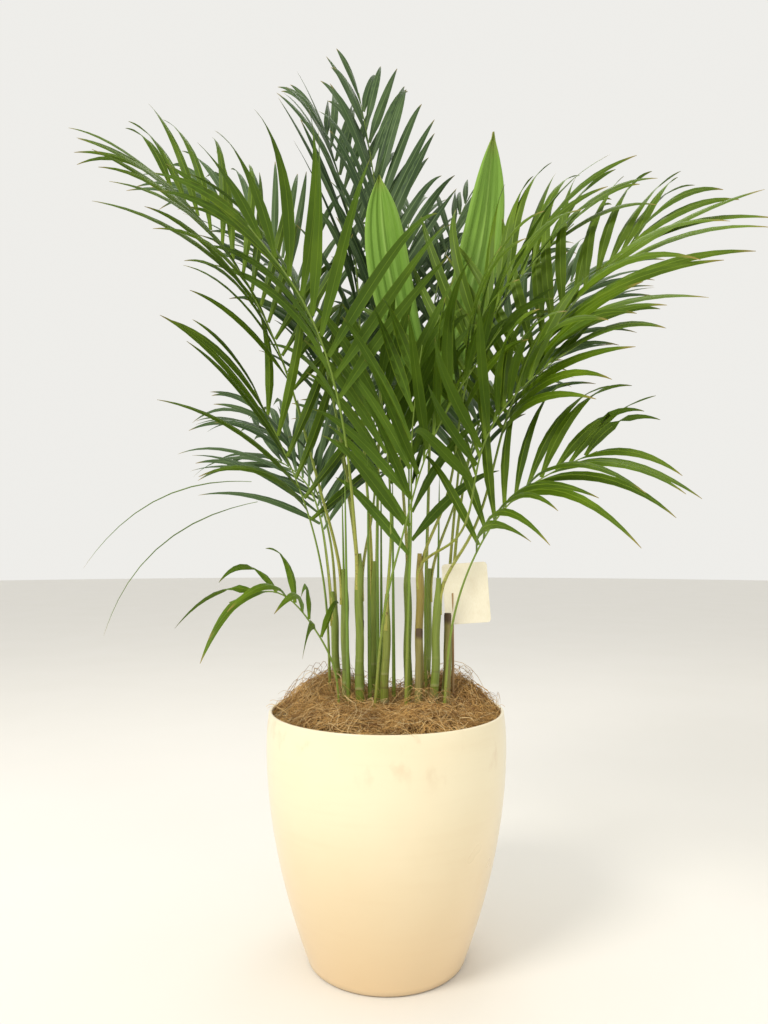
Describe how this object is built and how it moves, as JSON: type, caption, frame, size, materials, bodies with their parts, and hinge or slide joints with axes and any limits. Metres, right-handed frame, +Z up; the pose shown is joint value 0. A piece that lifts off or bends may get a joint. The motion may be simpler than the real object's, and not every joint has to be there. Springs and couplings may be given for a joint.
{
  "type": "potted palm",
  "caption": "Young areca palm of arching feathery fronds on slim canes, in a tapering round pot topped with coconut fibre.",
  "frame": {"origin": "centre of the pot's flat base, on the pot's axis", "axes": "+Z up along the pot's axis, -Y towards the viewer of the plant's front, +X to that viewer's right"},
  "size_m": [0.7629, 0.6423, 1.2319],
  "materials": {
    "pot": "satin",
    "soil": "matte",
    "coir": "matte",
    "cane": "satin",
    "cut_stub": "matte",
    "front_leaf": "satin",
    "back_leaf": "satin",
    "young_leaf": "satin",
    "card": "matte",
    "stake": "matte"
  },
  "bodies": {
    "root": {"cane_left_back": "cane", "cane_left_front": "cane", "cane_left_inner": "cane", "cane_left_near_middle": "cane", "cane_left_outer": "cane", "cane_left_side": "cane", "cane_right_back": "cane", "cane_right_front": "cane", "cane_right_inner": "cane", "cane_right_middle": "cane", "cane_right_outer": "cane", "cane_spear_left": "cane", "cane_spear_left_back": "cane", "cane_spear_left_inner": "cane", "cane_spear_left_near": "cane", "cane_spear_middle": "cane", "cane_spear_middle_back": "cane", "cane_spear_right": "cane", "cane_spear_right_back": "cane", "coir_mulch": "coir", "cut_stub_left": "cut_stub", "cut_stub_middle": "cut_stub", "cut_stub_right": "cut_stub", "frond_back_high": "back_leaf", "frond_back_left_high": "back_leaf", "frond_back_left_low": "back_leaf", "frond_back_left_mid": "back_leaf", "frond_back_middle_low": "back_leaf", "frond_back_right_low": "back_leaf", "frond_back_right_mid": "back_leaf", "frond_centre_back": "back_leaf", "frond_centre_low": "front_leaf", "frond_front_left": "front_leaf", "frond_left_back": "back_leaf", "frond_left_low": "front_leaf", "frond_left_mid_back": "back_leaf", "frond_left_small": "front_leaf", "frond_left_sweep": "front_leaf", "frond_middle_cross": "front_leaf", "frond_middle_front": "front_leaf", "frond_right_back": "back_leaf", "frond_right_behind": "back_leaf", "frond_right_front": "front_leaf", "frond_right_low": "front_leaf", "frond_right_mid": "front_leaf", "frond_right_sweep": "front_leaf", "pot": "pot", "potting_soil": "soil", "tag_card": "card", "tag_stake": "stake", "young_leaf": "young_leaf"}
  },
  "joints": []
}
